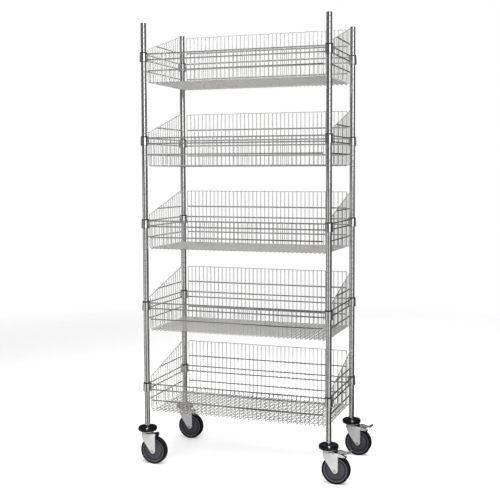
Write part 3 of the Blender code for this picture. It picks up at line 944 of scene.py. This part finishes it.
def crown_mesh():
    """Domed crown with the lower race."""
    race, edge = 0.027, 0.004
    dome = [(0.012, CROWN_BOTTOM), (race - 0.001, CROWN_BOTTOM), (race, CROWN_BOTTOM + 0.001)]
    dome += arc((race - edge, SHADE_BAND_BOTTOM - GAP - edge), edge, 0, 90, 6)
    dome += [(0.0215, SHADE_BAND_BOTTOM), (0.0205, CROWN_TOP), (0.012, CROWN_TOP)]
    return solid("crown", turned, dome, 48)


def cross_bore(name, radius, sides, at):
    """Cutter for a hole through both legs."""
    return solid(name, turned, [(radius, -0.03), (radius, 0.03)], sides, (at[0], 0, at[1]), along="Y")


def fork_mesh(braked):
    """Pressed fork: legs and crown in one, with its bores."""
    fork = combined("fork", legs_mesh(braked), [crown_mesh()])
    cutters = [
        solid("king_bore", turned, [(0.0083, 0.1), (0.0083, 0.2)], 32),
        cross_bore("axle_bore", 0.0044, 24, (TRAIL, AXLE_HEIGHT)),
    ]
    if braked:
        pocket = [(0.031, 0.128), (0.090, 0.128), (0.090, 0.2), (0.031, 0.2)]
        reach = FORK_HALF_WIDTH - FORK_SHEET - 0.0001
        cutters.append(solid("pocket", extruded, pocket, -reach, reach, side_view))
        cutters.append(cross_bore("pedal_bore", 0.0029, 16, PEDAL_PIVOT))
    mesh = combined("fork", fork, cutters, "DIFFERENCE")
    mesh.shade_smooth()
    mesh.set_sharp_from_angle(angle=math.radians(35))
    return mesh


def stem_mesh():
    """Kingpin, upper race and the stem inside the post's foot."""
    profile = [
        (0.0085, CROWN_BOTTOM - 0.0040),
        (0.010, CROWN_BOTTOM - 0.0030),
        (0.010, CROWN_BOTTOM - GAP),
        (0.008, CROWN_BOTTOM - GAP),
        (0.008, CROWN_TOP + GAP),
        (0.0215, CROWN_TOP + GAP),
        (0.0225, SHADE_BAND_TOP),
        (0.0285, SHADE_BAND_TOP - 0.0002),
        (0.0292, SHADE_BAND_TOP + 0.0005),
        (0.0285, BUMPER_BOTTOM - GAP),
        (POST_RADIUS - 0.0002, BUMPER_BOTTOM - GAP),
        (POST_RADIUS - 0.0002, POST_BOTTOM - GAP),
        (0.011, POST_BOTTOM - GAP),
        (0.011, 0.229),
        (0.010, 0.230),
    ]
    return solid("stem", turned, profile, 40)


def shade_band_mesh():
    """Black band between stem and fork, only on the side where the wheel trails: painted shade in the gap
    under the race.
    """
    band = [(0.0225, SHADE_BAND_BOTTOM), (0.0268, SHADE_BAND_BOTTOM), (0.0275, SHADE_BAND_BOTTOM + 0.0008)]
    band += [(0.0274, SHADE_BAND_TOP - 0.0012), (0.0270, SHADE_BAND_TOP - 0.0006), (0.0229, SHADE_BAND_TOP - 0.0006)]
    return solid("shade_band", turned, band, 32, closed=True, slit=math.radians(100), slit_at=math.pi)


def wheel_mesh():
    """Moulded core: hub, web with a raised ring, a deep groove and the rim."""
    bore, hub, rim = 0.0045, 0.0135, 0.0538
    side = [(bore, 0.0176), (bore + 0.0007, 0.0183), (hub - 0.001, 0.0183), (hub, 0.0173)]
    side += [(hub + 0.0005, 0.0115), (0.0165, 0.0102), (0.027, 0.0102), (0.028, 0.0110)]
    side += [(0.0295, 0.0110), (0.0305, 0.0104), (0.041, 0.0112), (0.0422, 0.0108)]
    side += [(0.0432, 0.0078), (0.0462, 0.0078), (0.0472, 0.0116), (0.0484, 0.0138)]
    side += [(0.0498, 0.0145), (0.0525, 0.0148), (rim, 0.0142)]
    return solid("core", turned, two_sided(side), WHEEL_ROUND, closed=True, along="Y")


def tyre_mesh():
    """Solid tyre with round shoulders and a flat tread."""
    inner, half, shoulder = 0.0541, WHEEL_HALF_WIDTH, 0.0055
    side = [(inner, half - 0.0022), (inner + 0.0006, half - 0.0012), (inner + 0.002, half - 0.0004)]
    side += arc((WHEEL_RADIUS - shoulder, half - shoulder), shoulder, 88, 8, 7)
    side += [(WHEEL_RADIUS, half * 0.45)]
    return solid("tyre", turned, two_sided(side), WHEEL_ROUND, closed=True, along="Y")


def axle_mesh():
    """Bolt with a low round head at the front, and a washer and hexagon nut at the back."""
    face = FORK_HALF_WIDTH + GAP
    shank, head, washer, thread = 0.004, 0.0068, 0.0075, 0.0035
    bolt = [(0.0008, -face - 0.0045), (0.0045, -face - 0.0040), (0.0062, -face - 0.0026)]
    bolt += [(head, -face - 0.0012), (head, -face), (shank, -face), (shank, face)]
    bolt += [(washer, face), (washer, face + 0.0012), (thread, face + 0.0012)]
    bolt += [(thread, face + 0.0048), (0.0028, face + 0.0053)]
    nut = [(0.0036, face + 0.0011), (0.0063, face + 0.0011), (0.0065, face + 0.0020)]
    nut += [(0.0063, face + 0.0045), (0.0055, face + 0.0050), (0.0036, face + 0.0050)]
    shape = new_shape()
    turned(shape, bolt, 32, along="Y")
    turned(shape, nut, 6, closed=True, along="Y")
    return mesh_of("axle_bolt", shape)


def add_pin(shape, radius, half_length, edge, sides):
    """A round pin across the pedal, on its pivot."""
    side = [(radius - edge, half_length), (radius, half_length - edge)]
    turned(shape, two_sided(side)[::-1], sides, (PEDAL_PIVOT[0], 0, PEDAL_PIVOT[1]), along="Y")


def pedal_mesh():
    """Humped pedal that narrows to a neck and widens to a rising toe with ribs, on its cross pin."""
    edge, crown = 0.0014, 0.0003
    loops = []
    for x, top, low, half in PEDAL_STATIONS:
        over = [(-half, top - edge), (-half + edge, top), (0.0, top + crown)]
        over += [(half - edge, top), (half, top - edge)]
        under = [(half, low + edge), (half - edge, low), (-half + edge, low), (-half, low + edge)]
        loops.append([Vector((x, y, z)) for y, z in over + under])
    shape = new_shape()
    add_loops(shape, loops)
    for x in PEDAL_RIBS:
        height = RIB_HEIGHT + (x - PEDAL_RIBS[0]) * RIB_SLOPE
        wire(shape, [Vector((x, y, height)) for y in (-0.0105, 0.0, 0.0105)], 0.0010, X_AXIS)
    add_pin(shape, 0.0046, 0.0127, 0.0008, 20)
    add_pin(shape, 0.0025, 0.0214, 0.0007, 16)
    return mesh_of("pedal", shape)


def block_mesh(name, outline, half_width):
    """A block between the fork's legs."""
    return solid(name, extruded, outline, -half_width, half_width, side_view)


def shoe_mesh():
    """Brake shoe under the pedal. Pressed down, its lower side lies along the tyre."""
    pressed_hub = (0.0486, 0.06125)  # the wheel's centre, seen from the pressed pedal
    outline = arc(pressed_hub, WHEEL_RADIUS + GAP, 84, 66, 6)
    outline += [(0.0788, 0.1172), (0.0815, 0.1222), (0.0804, 0.1236), (0.0775, 0.1228)]
    outline += [(0.0720, 0.1232), (0.0640, 0.1280), (0.0560, 0.1318)]
    return block_mesh("shoe", outline, 0.0130)


def softened(made, width):
    """Rounds a piece's hard edges."""
    bevel = made.modifiers.new("soft_edges", "BEVEL")
    bevel.width = width
    bevel.segments = 2
    bevel.limit_method = "ANGLE"
    bevel.angle_limit = math.radians(40)


def add_brake(corner, pedal, housing_and_shade, shoe):
    """Pedal, brake housing and brake shoe of one caster. The black housing is partly painted shade, set
    where the pocket under the bumper lies in shade.
    """
    foot, lever = foot_of(corner), "pedal_" + corner
    node = "brake_pedal_" + corner
    piece("foot_pedal_" + corner, pedal, "zinc_steel", lever, [node], foot, "pedal_steel")
    box = piece("brake_housing_and_shade_" + corner, housing_and_shade, "sleeve_plastic", "swivel_" + corner, (), foot)
    softened(box, SOFT_EDGE)
    block = piece("brake_shoe_" + corner, shoe, "sleeve_plastic", lever, (), foot)
    softened(block, SOFT_EDGE)


def add_casters():
    """Four casters. Two have a brake, the other two a small black guard above the wheel that is partly
    painted shade, set where the inside of the fork's back lies in shade.
    """
    stem, shade_band, bolt, core, tyre = stem_mesh(), shade_band_mesh(), axle_mesh(), wheel_mesh(), tyre_mesh()
    forks = {braked: fork_mesh(braked) for braked in (True, False)}
    brake = pedal_mesh(), block_mesh("housing_and_shade", HOUSING_AND_SHADE, 0.0170), shoe_mesh()
    guard_and_shade = block_mesh("guard_and_shade", GUARD_AND_SHADE, 0.0150)
    for corner in CORNERS:
        foot = foot_of(corner)
        hub = foot + Vector((TRAIL, 0, AXLE_HEIGHT))
        fork = forks[corner in BRAKED]
        swivel, wheel = "swivel_" + corner, "wheel_" + corner
        piece("kingpin_stem_" + corner, stem, "zinc_steel", "rack", ["caster_stem_" + corner], foot)
        piece("swivel_shade_band_" + corner, shade_band, "bumper_rubber", swivel, (), foot)
        piece("pressed_fork_" + corner, fork, "zinc_steel", swivel, ["caster_fork_" + corner], foot)
        axle = "caster_axle_" + corner
        piece("axle_bolt_" + corner, bolt, "zinc_steel", swivel, [axle], hub, "bright_wire")
        piece("wheel_core_" + corner, core, "wheel_core", wheel, ["caster_wheel_" + corner], hub)
        piece("wheel_tyre_" + corner, tyre, "tyre_rubber", wheel, ["caster_tyre_" + corner], hub)
        if corner in BRAKED:
            add_brake(corner, *brake)
        else:
            # partly painted shade: a black guard where the inside of the fork lies in shade
            shield_and_shade = piece("thread_guard_and_shade_" + corner, guard_and_shade, "sleeve_plastic", swivel, (), foot)
            softened(shield_and_shade, GUARD_AND_SHADE_EDGE)


# ---------------------------------------------------------------- floor, light and camera


def camera_only(nodes, seen, mirrored):
    """Shows one shader to the camera and another one to everything that the rack reflects."""
    path = nodes.add("ShaderNodeLightPath")
    mix = nodes.add("ShaderNodeMixShader")
    nodes.link(path.outputs["Is Camera Ray"], mix.inputs["Fac"])
    nodes.link(mirrored, mix.inputs[1])
    nodes.link(seen, mix.inputs[2])
    return mix.outputs["Shader"]


def around_ramp(nodes, split, marks):
    """Brightness by compass direction: 0 degrees is towards -Y, and it grows towards +X."""
    back = nodes.add("ShaderNodeMath", operation="MULTIPLY")
    back.inputs[1].default_value = -1.0
    nodes.link(split.outputs["Y"], back.inputs[0])
    angle = nodes.add("ShaderNodeMath", operation="ARCTAN2")
    nodes.link(split.outputs["X"], angle.inputs[0])
    nodes.link(back.outputs[0], angle.inputs[1])
    turn = nodes.mapped(angle.outputs[0], 0.0, 1.0, -math.pi, math.pi)
    return nodes.ramp(turn, [((degrees + 180) / 360, grey(value)) for degrees, value in marks])


def floor_material():
    """Pale in view, and clear at the rim. In the chrome it glows with painted light from a few sides and
    painted shade near the rack.
    """
    made, nodes, shader, at = new_material("pale_floor")
    shader.inputs["Base Color"].default_value = (*grey(0.93), 1.0)
    shader.inputs["Roughness"].default_value = 0.9
    shader.inputs["Emission Color"].default_value = (*grey(1.0), 1.0)
    shader.inputs["Emission Strength"].default_value = FLOOR_GLOW
    distance = nodes.add("ShaderNodeVectorMath", operation="LENGTH")
    nodes.link(at, distance.inputs[0])
    away = nodes.mapped(distance.outputs["Value"], 0.0, 1.0, 0.0, FLOOR_SOLID)
    shade = nodes.ramp(away, [(0.0, NEAR_FLOOR), (0.35, NEAR_FLOOR), (0.9, FAR_FLOOR)])
    split = nodes.add("ShaderNodeSeparateXYZ")
    nodes.link(at, split.inputs[0])
    mirrored = nodes.add("ShaderNodeEmission")
    nodes.link(nodes.multiplied(around_ramp(nodes, split, FLOOR_LIGHT), shade), mirrored.inputs["Color"])
    shown = camera_only(nodes, shader.outputs["BSDF"], mirrored.outputs["Emission"])
    fade = nodes.mapped(distance.outputs["Value"], 0.0, 1.0, FLOOR_SOLID, FLOOR_RADIUS * 0.98)
    clear = nodes.add("ShaderNodeBsdfTransparent")
    mix = nodes.add("ShaderNodeMixShader")
    nodes.link(fade, mix.inputs["Fac"])
    nodes.link(shown, mix.inputs[1])
    nodes.link(clear.outputs["BSDF"], mix.inputs[2])
    nodes.link(mix.outputs["Shader"], made.node_tree.nodes["Material Output"].inputs["Surface"])
    return made


def add_floor():
    """A pale round floor that fades out at its rim."""
    mesh = bpy.data.meshes.new("floor")
    work = bmesh.new()
    bmesh.ops.create_circle(work, cap_ends=True, radius=FLOOR_RADIUS, segments=96)
    work.to_mesh(mesh)
    work.free()
    mesh.materials.append(floor_material())
    floor = bpy.data.objects.new("floor", mesh)
    bpy.context.scene.collection.objects.link(floor)
    floor.location = (0, 0, -GAP)


def mirrored_room(nodes):
    """What the rack mirrors: a dark studio with a few soft screens, a faint ceiling and a pale floor."""
    direction = nodes.add("ShaderNodeTexCoord").outputs["Generated"]
    split = nodes.add("ShaderNodeSeparateXYZ")
    nodes.link(direction, split.inputs[0])
    height = nodes.mapped(split.outputs["Z"], 0.0, 1.0, -1.0, 1.0)
    above = nodes.ramp(height, [((z + 1) / 2, grey(value)) for z, value in SCREEN_HEIGHTS])
    below = nodes.ramp(height, [((z + 1) / 2, colour) for z, colour in FLOOR_TONES])
    both = nodes.add("ShaderNodeMix", data_type="RGBA")
    nodes.link(nodes.mapped(split.outputs["Z"], 0.0, 1.0, *HORIZON), both.inputs["Factor"])
    nodes.link(nodes.multiplied(around_ramp(nodes, split, FLOOR_LIGHT), below), both.inputs["A"])
    nodes.link(nodes.multiplied(around_ramp(nodes, split, SCREENS), above), both.inputs["B"])
    ceiling = nodes.add("ShaderNodeMix", data_type="RGBA", blend_type="ADD")
    ceiling.inputs["Factor"].default_value = 1.0
    lamp = nodes.ramp(height, [((z + 1) / 2, grey(value)) for z, value in CEILING])
    nodes.link(both.outputs["Result"], ceiling.inputs["A"])
    nodes.link(lamp, ceiling.inputs["B"])
    return ceiling.outputs["Result"]


def add_world():
    """White surroundings in view, and a studio for the rack to mirror."""
    world = bpy.data.worlds.new("studio")
    bpy.context.scene.world = world
    world.use_nodes = True
    nodes = Nodes(world.node_tree)
    seen = world.node_tree.nodes["Background"]
    seen.inputs["Color"].default_value = (*grey(1.0), 1.0)
    mirrored = nodes.add("ShaderNodeBackground")
    mirrored.inputs["Strength"].default_value = MIRRORED_STRENGTH
    nodes.link(mirrored_room(nodes), mirrored.inputs["Color"])
    shown = camera_only(nodes, seen.outputs["Background"], mirrored.outputs["Background"])
    nodes.link(shown, world.node_tree.nodes["World Output"].inputs["Surface"])


def add_lights():
    """Soft square lights that light the rack without showing in its chrome."""
    for name, place, aim, power in LIGHTS:
        data = bpy.data.lights.new(name, "AREA")
        data.energy = power
        data.size = LIGHT_SIZE
        light = bpy.data.objects.new(name, data)
        bpy.context.scene.collection.objects.link(light)
        light.location = place
        light.rotation_mode = "QUATERNION"
        light.rotation_quaternion = (Vector(aim) - Vector(place)).to_track_quat("-Z", "Y")
        light.visible_glossy = False


def add_camera():
    """The photo's camera, fitted to the posts, collars and wheels."""
    data = bpy.data.cameras.new("camera")
    data.lens = LENS_MM
    data.sensor_width = SENSOR_MM
    data.shift_x = data.shift_y = SHIFT
    camera = bpy.data.objects.new("camera", data)
    bpy.context.scene.collection.objects.link(camera)
    camera.location = CAMERA_AT
    aim = Euler((math.radians(90 - CAMERA_ELEVATION), 0, math.radians(CAMERA_AZIMUTH))).to_quaternion()
    camera.rotation_mode = "QUATERNION"
    camera.rotation_quaternion = aim @ Quaternion((0, 0, 1), math.radians(CAMERA_ROLL))
    bpy.context.scene.camera = camera


add_camera()
add_posts()
add_baskets()
add_sleeves()
add_bumpers()
add_casters()
add_floor()
add_world()
add_lights()
bpy.context.scene.view_settings.view_transform = "Standard"
